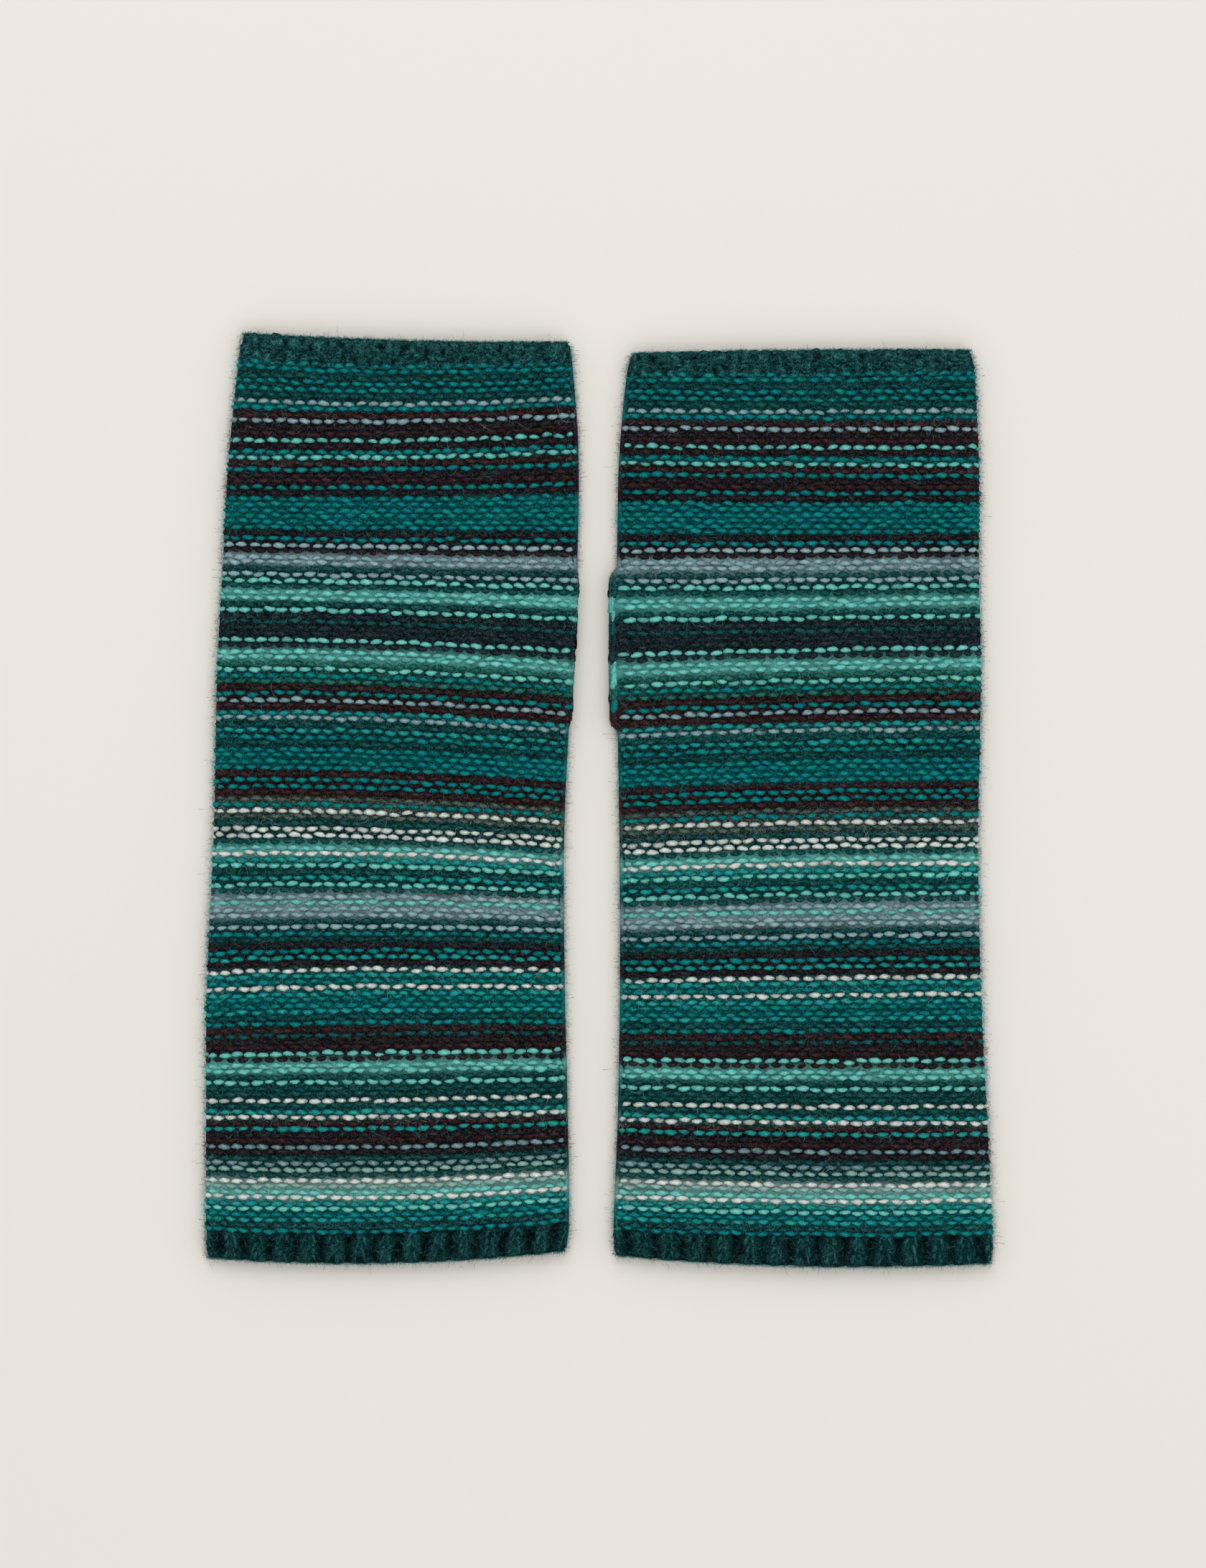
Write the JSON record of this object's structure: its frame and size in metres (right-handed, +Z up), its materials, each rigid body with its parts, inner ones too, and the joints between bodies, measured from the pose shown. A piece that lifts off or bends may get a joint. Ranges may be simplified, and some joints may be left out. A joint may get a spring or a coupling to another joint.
{
  "type": "pair of fingerless mittens",
  "caption": "Pair of striped wool fingerless mittens laid flat side by side, each a folded knitted tube with a thumb slit, a ribbed wrist and a plain band at the fingers.",
  "frame": {"origin": "middle of the pair's footprint, on the surface that it lies on", "axes": "+X across the pair, towards the right mitten; +Y from the wrist edges to the finger edges; +Z up from the surface"},
  "size_m": [0.2255, 0.2674, 0.0071],
  "materials": {
    "striped_wool": "felted wool knit, purl side out, in one-course and two-course stripes of teal, mint, cream, slate grey, bottle green and brown-black, dull and fuzzy",
    "green_rib_wool": "bottle green felted wool in a fine rib, dull and fuzzy",
    "green_band_wool": "bottle green felted wool, brushed, with a soft cast-off edge"
  },
  "bodies": {
    "root": {"left_hand_panel": "striped_wool", "left_wrist_rib": "green_rib_wool", "left_finger_band": "green_band_wool", "right_hand_panel": "striped_wool", "right_wrist_rib": "green_rib_wool", "right_finger_band": "green_band_wool"}
  },
  "joints": []
}
